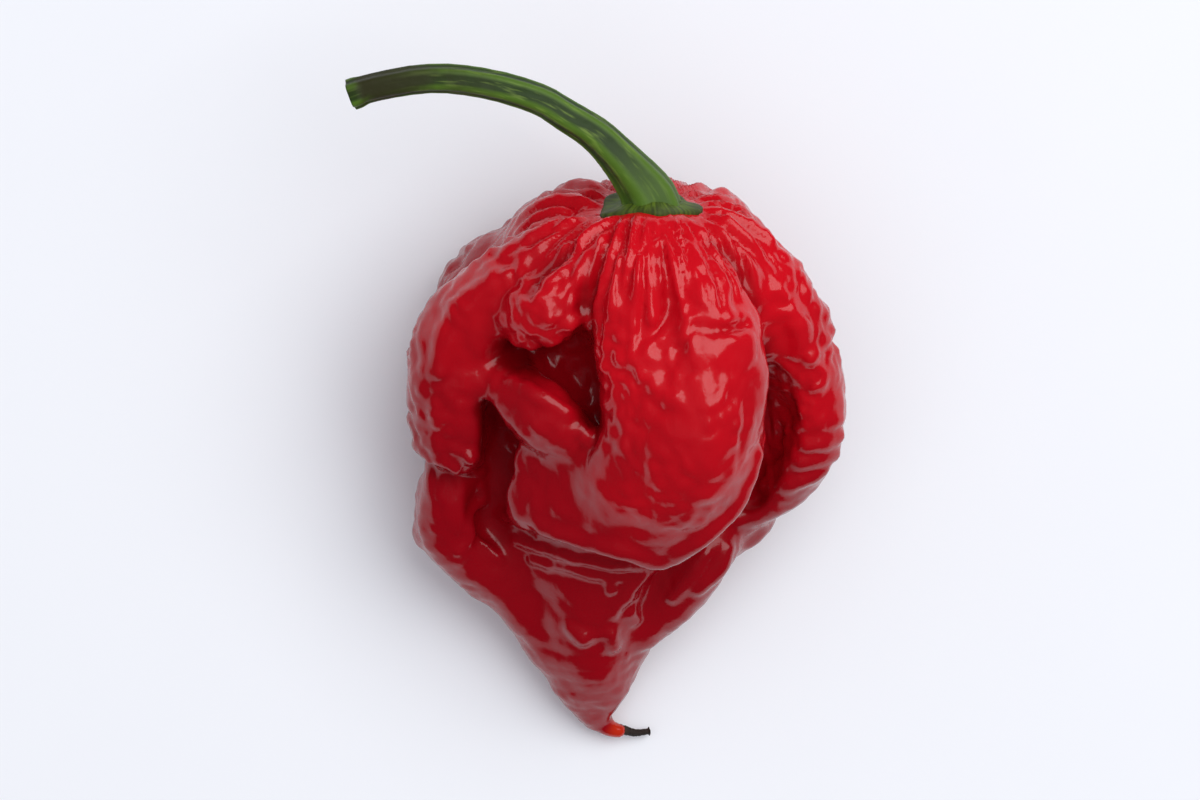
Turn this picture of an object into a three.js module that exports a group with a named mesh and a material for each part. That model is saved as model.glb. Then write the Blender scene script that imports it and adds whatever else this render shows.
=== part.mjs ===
// A wrinkled hot chilli pepper, lying on its side on a flat surface.
//
// Units are millimetres and +Z is up. The origin is on the surface that the pepper lies on, under the
// middle of its outline. The stem end points along +Y, the tail along -Y.
//
// The pod grew as one piece. It is modelled as soft rolls and hollows that blend into each other: each one
// is a chain of balls along a path, and together they give a distance field whose zero level is the skin.
import * as THREE from "three";

// Driving dimensions.
const SKIN_CELL = 1.25; // spacing of the grid that the skin is read from
const PATH_STEPS = 3; // each stretch of a path is split into this many straight ones
const CLEARANCE = 0.3; // gap between neighbouring pieces
const CALYX_RADIUS = 4.3;
const CALYX_THICKNESS = 0.7;
const STEM_BASE_RADIUS = 2.5;
const STEM_MIDDLE_RADIUS = 1.35;
const STEM_TIP_RADIUS = 1.15;

// The stem end of the pod: the middle of its seat, and the direction in which it faces.
const SEAT = new THREE.Vector3(3.9, 16.8, 22.5);
const SEAT_FACING = new THREE.Vector3(0.03, 0.95, 0.31).normalize();

// Each roll is a path of [x, y, z, radius]. blend is the width of the fillet where it meets the rest.
const ROLLS = [
  { name: "body", blend: 0, path: [
    [3.8, 10.5, 16, 9], [3.3, 3.5, 13.2, 9.2], [1.8, -4.5, 12, 8.6], [0.3, -12.5, 7.9, 6.5],
    [0.3, -20.5, 5.5, 4]] },
  { name: "shoulder_left", blend: 3, path: [
    [3.3, 12.1, 25, 4.2], [-1.8, 12.3, 21.4, 4.4], [-2, 13.1, 15, 5.4]] },
  { name: "shoulder_right", blend: 3, path: [
    [3.3, 12.1, 25, 4.2], [8.6, 12.4, 21.5, 4.6], [9.4, 13.1, 15, 5.4]] },
  { name: "shoulder_under", blend: 3, path: [
    [-2, 13.1, 15, 5.4], [4, 13.8, 11, 5.4], [9.4, 13.1, 15, 5.4]] },
  { name: "cheek", blend: 2, path: [
    [4.3, 12.8, 24.8, 4.2], [7.1, 8.7, 25.1, 5.7], [8, 3.2, 25.6, 5.8], [7.4, -2.3, 24.7, 5.7],
    [5.9, -5.7, 22.8, 5.2]] },
  { name: "cheek_left", blend: 1.6, path: [
    [2.1, 13.4, 25.4, 2.6], [1.4, 9.8, 25.6, 3.1], [2, 6, 25.8, 3.4], [3.2, 2, 25.4, 3.9],
    [3.6, -1.8, 24.4, 4.1], [2.4, -5.6, 22, 4.4]] },
  { name: "cheek_rim", blend: 1.4, path: [
    [-5, -7.4, 16.3, 3.2], [-0.7, -8.2, 18.6, 3.6], [4.2, -9.2, 20.7, 3.9], [8, -7, 21.6, 4],
    [9.9, -2.4, 22.8, 4]] },
  { name: "right_shoulder", blend: 2.2, path: [
    [8.8, 13.4, 23.2, 3.2], [12.3, 10.1, 22.4, 3], [14.1, 6.5, 20.4, 2.4]] },
  { name: "right_lobe", blend: 2, path: [
    [7.5, 14.6, 22.6, 2.6], [12, 13, 21.7, 3.3], [15.4, 9, 19.9, 3.5], [17.4, 4.4, 17.9, 3.5],
    [18.5, -0.4, 15.7, 3.6], [17.8, -4.2, 13.6, 3.4], [15.6, -6.8, 11.8, 3.2], [13, -8.5, 10.4, 3]] },
  { name: "left_lobe", blend: 1.6, path: [
    [-3.2, 13.9, 22.2, 2.8], [-7.6, 10.9, 20.4, 3.5], [-10.6, 8, 18.6, 4], [-12.1, 4.9, 17.2, 4.2],
    [-12.3, 1.8, 16.4, 4.2], [-12.1, -1.7, 15, 3.9]] },
  { name: "lower_left_lobe", blend: 0.9, path: [
    [-11.5, -3.8, 11.6, 2.8], [-12.1, -7.6, 11.8, 3], [-11.9, -10.7, 10, 3.2], [-9, -13.4, 8.4, 3.3],
    [-5.2, -17, 6.8, 2.9], [-2.4, -20.4, 5.2, 2.4]] },
  { name: "lower_left_corner", blend: 1.2, path: [[-13.6, -7, 9.6, 1.5], [-13.7, -11.2, 8.2, 1.5]] },
  { name: "nose", blend: 1.1, path: [
    [-10, 3.3, 18.6, 2.2], [-7.2, 1.6, 20.3, 2.7], [-4.6, -0.4, 21.5, 3], [-2.6, -2, 21.6, 2.4]] },
  { name: "nose_root", blend: 1.5, path: [[-7.6, 3.8, 16.2, 3.6], [-3, -1.5, 17, 3.6]] },
{ name: "nose_skirt", blend: 2.2, path: [
    [-5.5, -3.2, 16.8, 2.9], [-3, -4.4, 18.3, 3], [-0.4, -5, 19.8, 2.8]] },
  { name: "brow", blend: 1.4, path: [
    [-0.6, 14.2, 24.6, 2.2], [-1.9, 12.6, 25.4, 2.6], [-3.5, 10.5, 25.2, 3], [-5, 9.1, 24.8, 3.2],
    [-6.4, 8, 23.2, 2.7]] },
  { name: "brow_root", blend: 1.5, path: [[-1.2, 11.5, 21, 4], [-4.4, 9.3, 19.6, 3.6]] },
  { name: "point", blend: 1.4, path: [
    [0.9, -12.3, 9.4, 5.2], [0.5, -16.2, 7.8, 5.2], [0.4, -20.1, 5.7, 4.8], [0.8, -23.5, 4.2, 3.7],
    [1, -26.2, 2.8, 2.3], [1.5, -27.9, 2, 1.6], [2.5, -28.8, 1.8, 1.2]] },
  { name: "point_left", blend: 1.6, path: [
    [-4.4, -17.3, 6.2, 3], [-3, -20.1, 5, 2.6], [-0.5, -23.7, 3.6, 2.1]] },
  { name: "point_right", blend: 1.6, path: [
    [4.9, -18.4, 6.4, 2.8], [3.4, -22, 4.6, 2.2], [2, -25.5, 3.2, 1.6]] },
  { name: "lower_right_lobe", blend: 0.8, path: [[14.1, -9.4, 8.3, 2.9], [12.3, -11.3, 8.1, 2.5]] },
  { name: "right_flank", blend: 0.9, path: [
    [10, -11.9, 10.2, 3.4], [8, -15.4, 8.7, 3.3], [5, -18.8, 6.8, 2.8]] },
  { name: "under_left", blend: 2.2, path: [
    [-3.8, 12.1, 12.4, 4.6], [-5.8, 7.4, 7.4, 7.9], [-6.4, 0.4, 8.2, 7.2], [-5.6, -7.6, 7.8, 5.6],
    [-1.6, -14.7, 5.2, 5.5]] },
  { name: "under_right", blend: 2.2, path: [
    [9.8, 12.3, 12, 4.6], [11.2, 7.4, 7.5, 8], [11.8, 0.4, 8, 7.4], [10.2, -6.6, 7.8, 5.8],
    [6.2, -12.7, 6.8, 4.8]] },
];

// Each hollow is cut out of the rolls in the same way.
const HOLLOWS = [
  { name: "eye", blend: 1.6, path: [
    [-4, 6.9, 22.4, 1.5], [-2.7, 4.6, 20.8, 2.1], [-1, 2.1, 20.2, 2.1], [0, -0.8, 20.8, 1.5]] },
  { name: "left_furrow", blend: 1.4, path: [
    [-8.7, 0.2, 19.4, 1.3], [-8, -2.1, 17.4, 1.8], [-8.5, -5.3, 15.8, 1.8], [-9.1, -8.6, 14, 1.6],
    [-8.6, -11, 12.6, 1.2]] },
  { name: "right_furrow", blend: 1.5, path: [
    [15, 1.8, 20.4, 1.1], [14.9, -0.6, 18.2, 2], [14.4, -3.6, 15.9, 2.3], [13.2, -7.2, 13.8, 2]] },
];

// A path's points with points between them, on a spline that runs through them all.
function smoothed(path) {
  const beyond = (end, before) => end.map((value, k) => 2 * value - before[k]);
  const last = path.length - 1;
  const rows = [beyond(path[0], path[1]), ...path, beyond(path[last], path[last - 1])];
  const points = [];
  for (let i = 1; i + 2 < rows.length; i++)
    for (let step = 0; step < PATH_STEPS; step++) {
      const t = step / PATH_STEPS;
      points.push(rows[i].map((start, k) => {
        const [before, end, after] = [rows[i - 1][k], rows[i + 1][k], rows[i + 2][k]];
        const bend = 2 * before - 5 * start + 4 * end - after;
        const twist = 3 * (start - end) + after - before;
        return 0.5 * (2 * start + (end - before) * t + bend * t * t + twist * t * t * t);
      }));
    }
  return [...points, path[last]];
}

for (const row of [...ROLLS, ...HOLLOWS]) row.path = smoothed(row.path);

// Distance from p to the skin of a tapered roll; negative inside it.
function rollDistance(p, path) {
  let nearest = Infinity;
  for (let i = 0; i + 1 < path.length; i++) {
    const [ax, ay, az, ar] = path[i];
    const [bx, by, bz, br] = path[i + 1];
    const dx = bx - ax, dy = by - ay, dz = bz - az;
    const px = p.x - ax, py = p.y - ay, pz = p.z - az;
    const t = THREE.MathUtils.clamp((px * dx + py * dy + pz * dz) / (dx * dx + dy * dy + dz * dz), 0, 1);
    const away = Math.hypot(px - t * dx, py - t * dy, pz - t * dz);
    nearest = Math.min(nearest, away - (ar + t * (br - ar)));
  }
  return nearest;
}

// The smaller of two distances, with a fillet of the given width where they are alike.
function smoothMin(a, b, width) {
  const h = Math.max(width - Math.abs(a - b), 0);
  return Math.min(a, b) - (width > 0 ? (h * h) / (4 * width) : 0);
}

// Distance from p to the pod's skin; negative inside the pod.
function podDistance(p) {
  let d = Infinity;
  for (const roll of ROLLS) d = smoothMin(d, rollDistance(p, roll.path), roll.blend);
  for (const hollow of HOLLOWS) d = -smoothMin(-d, rollDistance(p, hollow.path), hollow.blend);
  return d;
}

// The zero level of a distance field as a closed mesh, with one vertex in each grid cell that the skin
// crosses and one quad round each grid edge that it crosses.
function skinOf(distance, box, cell) {
  const size = box.getSize(new THREE.Vector3());
  const n = size.toArray().map((length) => Math.ceil(length / cell) + 1);
  const step = [1, n[0], n[0] * n[1]];
  const at = (i, j, k) => new THREE.Vector3(i, j, k).multiplyScalar(cell).add(box.min);
  const value = new Float64Array(n[0] * n[1] * n[2]);
  for (let k = 0; k < n[2]; k++)
    for (let j = 0; j < n[1]; j++)
      for (let i = 0; i < n[0]; i++) value[i + j * step[1] + k * step[2]] = distance(at(i, j, k));

  const corners = [];
  for (let c = 0; c < 8; c++) corners.push([c & 1, (c >> 1) & 1, c >> 2]);
  const edges = [];
  for (let a = 0; a < 8; a++) for (const bit of [1, 2, 4]) if (!(a & bit)) edges.push([a, a | bit]);

  const positions = [];
  const vertexOf = new Map();
  for (let k = 0; k + 1 < n[2]; k++)
    for (let j = 0; j + 1 < n[1]; j++)
      for (let i = 0; i + 1 < n[0]; i++) {
        const home = i + j * step[1] + k * step[2];
        const v = corners.map(([x, y, z]) => value[home + x + y * step[1] + z * step[2]]);
        const sum = new THREE.Vector3();
        let crossings = 0;
        for (const [a, b] of edges) {
          if (v[a] < 0 === v[b] < 0) continue;
          const t = v[a] / (v[a] - v[b]);
          sum.add(new THREE.Vector3(...corners[a]).lerp(new THREE.Vector3(...corners[b]), t));
          crossings++;
        }
        if (!crossings) continue;
        vertexOf.set(home, positions.length / 3);
        sum.divideScalar(crossings).add(new THREE.Vector3(i, j, k)).multiplyScalar(cell).add(box.min);
        positions.push(...settled(sum, distance).toArray());
      }

  const index = [];
  for (let axis = 0; axis < 3; axis++) {
    const u = step[(axis + 1) % 3];
    const w = step[(axis + 2) % 3];
    for (let home = 0; home + step[axis] < value.length; home++) {
      const inside = value[home] < 0;
      if (inside === value[home + step[axis]] < 0) continue;
      const [a, b, c, d] = [home - u - w, home - w, home, home - u].map((key) => vertexOf.get(key));
      if (inside) index.push(a, b, c, a, c, d);
      else index.push(a, c, b, a, d, c);
    }
  }
  const geometry = new THREE.BufferGeometry();
  geometry.setAttribute("position", new THREE.Float32BufferAttribute(positions, 3));
  geometry.setIndex(index);
  return geometry;
}

// The upward slope of a distance field at p.
function slopeAt(p, distance) {
  const h = 0.05;
  const at = (x, y, z) => distance(new THREE.Vector3(p.x + x, p.y + y, p.z + z));
  const along = (x, y, z) => at(x, y, z) - at(-x, -y, -z);
  return new THREE.Vector3(along(h, 0, 0), along(0, h, 0), along(0, 0, h)).divideScalar(2 * h);
}

// p moved along the slope until it lies on the skin, and never under the surface that the pepper lies on.
function settled(p, distance) {
  const slope = slopeAt(p, distance);
  const move = THREE.MathUtils.clamp(-distance(p) / Math.max(slope.lengthSq(), 0.2), -0.4, 0.4);
  p.addScaledVector(slope, move);
  p.z = Math.max(p.z, 0);
  return p;
}

// The point where a ray from outside first meets the pod's skin.
function skinBelow(origin, direction) {
  const p = origin.clone();
  for (let i = 0; i < 200; i++) {
    const d = podDistance(p);
    if (d < 1e-4) break;
    p.addScaledVector(direction, d * 0.7);
  }
  return p;
}

// A closed tube whose sections are rings of points, from the first ring to the last, with flat ends.
function loft(rings) {
  const around = rings[0].length;
  const positions = rings.flat().flatMap((p) => p.toArray());
  const index = [];
  for (let r = 0; r + 1 < rings.length; r++)
    for (let s = 0; s < around; s++) {
      const a = r * around + s;
      const b = r * around + ((s + 1) % around);
      index.push(a, b, b + around, a, b + around, a + around);
    }
  const cap = (ring, first, flip) => {
    const middle = ring.reduce((sum, p) => sum.add(p), new THREE.Vector3()).divideScalar(around);
    const centre = positions.length / 3;
    positions.push(...middle.toArray());
    for (let s = 0; s < around; s++) {
      const a = first + s;
      const b = first + ((s + 1) % around);
      if (flip) index.push(centre, b, a);
      else index.push(centre, a, b);
    }
  };
  cap(rings[0], 0, true);
  cap(rings[rings.length - 1], (rings.length - 1) * around, false);
  const geometry = new THREE.BufferGeometry();
  geometry.setAttribute("position", new THREE.Float32BufferAttribute(positions, 3));
  geometry.setIndex(index);
  return geometry;
}

// A ring of points round a place on a curve, square to it.
function ringRound(centre, tangent, side, radiusAt, count) {
  const across = new THREE.Vector3().crossVectors(tangent, side).normalize();
  const up = new THREE.Vector3().crossVectors(across, tangent).normalize();
  return Array.from({ length: count }, (_, s) => {
    const angle = (2 * Math.PI * s) / count;
    const radius = radiusAt(angle);
    return centre.clone()
      .addScaledVector(up, radius * Math.cos(angle))
      .addScaledVector(across, radius * Math.sin(angle));
  });
}

function makePod() {
  const box = new THREE.Box3(new THREE.Vector3(-20, -33, -3), new THREE.Vector3(26, 24, 37));
  return skinOf(podDistance, box, SKIN_CELL);
}

// Points round the seat at the given radii, laid on the pod's skin and lifted off it.
const SEAT_RIGHT = new THREE.Vector3(1, 0, 0).projectOnPlane(SEAT_FACING).normalize();
const SEAT_UP = new THREE.Vector3().crossVectors(SEAT_FACING, SEAT_RIGHT);

function ringOnPod(count, radiusAt, lift) {
  return Array.from({ length: count }, (_, s) => {
    const angle = (2 * Math.PI * s) / count;
    const from = SEAT.clone().addScaledVector(SEAT_FACING, 12)
      .addScaledVector(SEAT_RIGHT, radiusAt(angle) * Math.cos(angle))
      .addScaledVector(SEAT_UP, radiusAt(angle) * Math.sin(angle));
    return skinBelow(from, SEAT_FACING.clone().negate()).addScaledVector(SEAT_FACING, lift);
  });
}

// The calyx is a thin green collar that lies on the pod's shoulder round the foot of the stem.
function makeCalyx() {
  const sectors = 40;
  const steps = 5;
  const lobes = 5;
  const edge = (angle) => CALYX_RADIUS * (1 + 0.09 * Math.cos(lobes * angle));
  const ring = (share, lift) => ringOnPod(sectors, (angle) => share * edge(angle), lift);
  const rings = [];
  for (let i = 1; i <= steps; i++) rings.push(ring(i / steps, CLEARANCE));
  for (let i = steps; i >= 1; i--) {
    const thickness = CALYX_THICKNESS * (1 - 0.45 * Math.pow(i / steps, 2));
    rings.push(ring(i / steps, CLEARANCE + thickness));
  }
  return loft(rings);
}

// The stem rises from the calyx and bends over to the left, to its cut end.
const STEM_PATH = new THREE.CatmullRomCurve3([
  SEAT.clone().addScaledVector(SEAT_FACING, 2.6),
  new THREE.Vector3(2.4, 20.5, 23.8),
  new THREE.Vector3(0.8, 22.3, 24.1),
  new THREE.Vector3(-1, 24, 24.3),
  new THREE.Vector3(-3.4, 25.5, 24.6),
  new THREE.Vector3(-6, 27, 24.8),
  new THREE.Vector3(-10.6, 28.3, 24.8),
  new THREE.Vector3(-15.1, 28.7, 24.4),
  new THREE.Vector3(-19.6, 28, 23.6),
  new THREE.Vector3(-21.7, 27.3, 23),
]);

function makeStem() {
  const steps = 34;
  const sides = 20;
  const ribs = 5;
  const ribbed = (radius) => (angle) => radius * (1 + 0.07 * Math.cos(ribs * angle));
  const rings = [];
  for (const share of [0.15, 0.45, 0.75, 1]) {
    rings.push(ringOnPod(sides, ribbed(share * STEM_BASE_RADIUS), 3 * CLEARANCE + CALYX_THICKNESS));
  }
  for (let i = 0; i <= steps; i++) {
    const t = i / steps;
    const flare = (STEM_BASE_RADIUS - STEM_MIDDLE_RADIUS) * Math.pow(1 - t, 7);
    const body = THREE.MathUtils.lerp(STEM_MIDDLE_RADIUS, STEM_TIP_RADIUS, t);
    const turned = THREE.MathUtils.smoothstep(t, 0, 0.2);
    const facing = SEAT_FACING.clone().lerp(STEM_PATH.getTangentAt(t), turned).normalize();
    rings.push(ringRound(STEM_PATH.getPointAt(t), facing, SEAT_UP, ribbed(body + flare), sides));
  }
  return loft(rings);
}

// The dried remains of the flower's style, at the end of the tail.
const STYLE_PATH = new THREE.CatmullRomCurve3([
  new THREE.Vector3(3.55, -29.3, 1.5),
  new THREE.Vector3(5.1, -29.7, 1.1),
  new THREE.Vector3(6.4, -29.6, 0.9),
]);

function makeStyleTip() {
  const rings = [];
  for (let i = 0; i <= 6; i++) {
    const t = i / 6;
    rings.push(ringRound(
      STYLE_PATH.getPointAt(t), STYLE_PATH.getTangentAt(t), new THREE.Vector3(0, 0, 1),
      () => THREE.MathUtils.lerp(0.5, 0.3, t), 10));
  }
  return loft(rings);
}

const RED_SKIN = new THREE.MeshStandardMaterial({ color: 0xb3060d, roughness: 0.28, metalness: 0 });
const GREEN_STEM = new THREE.MeshStandardMaterial({ color: 0x3b6a1c, roughness: 0.5, metalness: 0 });
const GREEN_CALYX = new THREE.MeshStandardMaterial({ color: 0x4a6b22, roughness: 0.55, metalness: 0 });
const DRY_BROWN = new THREE.MeshStandardMaterial({ color: 0x2c1a14, roughness: 0.8, metalness: 0 });

const pepper = new THREE.Group();
pepper.name = "wrinkled_chilli_pepper";

function add(name, geometry, material) {
  const mesh = new THREE.Mesh(geometry, material);
  mesh.name = name;
  pepper.add(mesh);
}

add("pod", makePod(), RED_SKIN);
add("calyx", makeCalyx(), GREEN_CALYX);
add("stem", makeStem(), GREEN_STEM);
add("style_tip", makeStyleTip(), DRY_BROWN);

export default pepper;
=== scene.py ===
# %% [markdown]
# # A wrinkled hot chilli pepper
#
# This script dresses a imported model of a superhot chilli: a lobed, crumpled red pod that lies on its side,
# a thin green calyx, a long ribbed stem and the dry style at the tip of the tail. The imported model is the
# fixed frame: it holds the true size and place of each piece. Here each piece gets its fine surface.
#
# Lengths in the tables are millimetres, and +Z is up. Blender works in metres, so MM turns the one into the
# other. Inside materials and Geometry Nodes all lengths are metres.

# %% Load the frame
import math

import bmesh
import bpy
import numpy as np
from mathutils import Matrix, Vector


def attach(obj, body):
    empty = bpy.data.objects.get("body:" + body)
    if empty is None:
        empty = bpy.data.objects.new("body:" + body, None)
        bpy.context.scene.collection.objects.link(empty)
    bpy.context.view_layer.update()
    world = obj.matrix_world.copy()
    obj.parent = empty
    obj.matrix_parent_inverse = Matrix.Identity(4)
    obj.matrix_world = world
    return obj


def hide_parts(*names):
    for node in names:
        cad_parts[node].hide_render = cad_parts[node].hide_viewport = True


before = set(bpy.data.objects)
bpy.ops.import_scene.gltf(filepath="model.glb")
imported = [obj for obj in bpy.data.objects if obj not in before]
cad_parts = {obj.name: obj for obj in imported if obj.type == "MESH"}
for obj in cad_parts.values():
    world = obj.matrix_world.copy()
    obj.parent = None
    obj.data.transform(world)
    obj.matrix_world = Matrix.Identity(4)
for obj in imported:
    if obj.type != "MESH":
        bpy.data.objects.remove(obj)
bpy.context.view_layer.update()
MM = 0.001

# %% [markdown]
# ## Camera
#
# The pepper lies on a table and is seen from almost straight above, a little from the stem's side. A long
# lens far above it keeps the lobes' true proportions. The camera is aimed by building its three axes, because
# its up is the pepper's own +Y here, and an up-vector helper flips when it looks straight down.

# %% The camera
CAMERA_PLACE = (-71.2, 32.5, 700)
CAMERA_AIM = (0.8, 0.5, 12)
PICTURE_HEIGHT = 70  # what the picture's height covers at the aim point
SENSOR_WIDTH = 36
PICTURE_SHAPE = 1.5


def add_camera(place, aim, picture_height):
    camera = bpy.data.objects.new("camera", bpy.data.cameras.new("camera"))
    bpy.context.scene.collection.objects.link(camera)
    back = (Vector(place) - Vector(aim)) * MM
    z_axis = back.normalized()
    y_axis = (Vector((0, 1, 0)) - z_axis * z_axis.y).normalized()
    camera.matrix_world = Matrix.Translation(Vector(place) * MM) @ Matrix(
        (y_axis.cross(z_axis), y_axis, z_axis)).transposed().to_4x4()
    camera.data.sensor_width = SENSOR_WIDTH
    camera.data.lens = SENSOR_WIDTH * back.length / (picture_height * MM * PICTURE_SHAPE)
    bpy.context.scene.camera = camera
    return camera


camera = add_camera(CAMERA_PLACE, CAMERA_AIM, PICTURE_HEIGHT)
print("camera: lens %.0f mm" % camera.data.lens)

# %% [markdown]
# ## Node maths as Python
#
# Materials and Geometry Nodes are graphs of small sums. Written node by node they are hard to read, so one
# class wraps an output socket and lets Python's operators add the Math nodes. `Graph` adds any other node,
# and `Paint` is a graph that feeds a material's Principled shader.

# %% Expressions on sockets


class Value:
    """An output socket that takes part in expressions."""

    def __init__(self, graph, socket):
        self.graph = graph
        self.socket = socket

    def math(self, operation, *others):
        return self.graph.node("ShaderNodeMath", {"operation": operation}, self, *others)

    def vector(self, operation, *others, output="Vector"):
        return self.graph.node("ShaderNodeVectorMath", {"operation": operation}, self, *others,
                               output=output)

    def other(self, name):
        """Another output of the node that this value comes from."""
        return Value(self.graph, self.socket.node.outputs[name])

    def __add__(self, other):
        return self.math("ADD", other)

    def __sub__(self, other):
        return self.math("SUBTRACT", other)

    def __rsub__(self, other):
        return self.graph.node("ShaderNodeMath", {"operation": "SUBTRACT"}, other, self)

    def __mul__(self, other):
        return self.math("MULTIPLY", other)

    def __truediv__(self, other):
        return self.math("DIVIDE", other)

    def __pow__(self, other):
        return self.math("POWER", other)

    __radd__ = __add__
    __rmul__ = __mul__

    def __abs__(self):
        return self.math("ABSOLUTE")

    def rising(self, low, high):
        """0 below low, 1 above high, and a smooth step in between."""
        return self.graph.node("ShaderNodeMapRange", {"interpolation_type": "SMOOTHSTEP"},
                               self, low, high, 0.0, 1.0)


class Graph:
    """A node tree under construction."""

    def __init__(self, tree):
        self.tree = tree

    def feed(self, socket, value):
        if isinstance(value, Value):
            self.tree.links.new(value.socket, socket)
        elif value is not None:
            if socket.type == "RGBA" and len(value) == 3:
                value = (*value, 1.0)
            socket.default_value = value

    def node(self, kind, settings=None, *values, output=0, **named):
        """A new node: its settings come first, then the values or links of its sockets."""
        made = self.tree.nodes.new(kind)
        for key, setting in (settings or {}).items():
            setattr(made, key, setting)
        for socket, value in zip([s for s in made.inputs if s.enabled], values):
            self.feed(socket, value)
        for name, value in named.items():
            self.feed(made.inputs[name.replace("_", " ")], value)
        return Value(self, made.outputs[output])

    def noise(self, place, scale, detail=2.0, distortion=0.0):
        return self.node("ShaderNodeTexNoise", None, Vector=place, Scale=scale, Detail=detail,
                         Roughness=0.5, Distortion=distortion)

    def cells(self, place, scale):
        """Distance to the middles of a random foam's cells."""
        return self.node("ShaderNodeTexVoronoi", {"feature": "SMOOTH_F1"}, Vector=place, Scale=scale,
                         Smoothness=0.4)


class Paint(Graph):
    """A material under construction. Its Principled shader takes constants and expressions alike."""

    def __init__(self, name, **constants):
        self.material = bpy.data.materials.new(name)
        self.material.use_nodes = True
        super().__init__(self.material.node_tree)
        self.shader = self.tree.nodes["Principled BSDF"]
        self.set(**constants)

    def set(self, **values):
        for name, value in values.items():
            self.feed(self.shader.inputs[name.replace("_", " ")], value)
        return self.material

    def place(self):
        return self.node("ShaderNodeTexCoord", output="Object")

    def attribute(self, name):
        return self.node("ShaderNodeAttribute", {"attribute_name": name}, output="Fac")

    def mix(self, share, first, second):
        """Colour first turned into second by share."""
        made = self.tree.nodes.new("ShaderNodeMix")
        made.data_type = "RGBA"
        for socket, value in ((made.inputs[0], share), (made.inputs[6], first), (made.inputs[7], second)):
            self.feed(socket, value)
        return Value(self, made.outputs[2])

    def bump(self, height, distance, strength):
        return self.node("ShaderNodeBump", None, Height=height, Distance=distance, Strength=strength)


print("helpers:", Value.__name__, Graph.__name__, Paint.__name__)

# %% [markdown]
# ## The pod as rolls and hollows
#
# The real pod is one thin wall that grew faster than its frame, so it folded into lobes. Box modelling such
# a form means thousands of hand-placed vertices. Here it is written as a distance field instead: each lobe is
# a chain of balls, a roll, and rolls melt into each other with a fillet. A hollow is the same thing, taken
# away. The table is short, and each row is a lobe that can be pointed at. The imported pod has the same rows,
# with wider fillets in a few of them.

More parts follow.
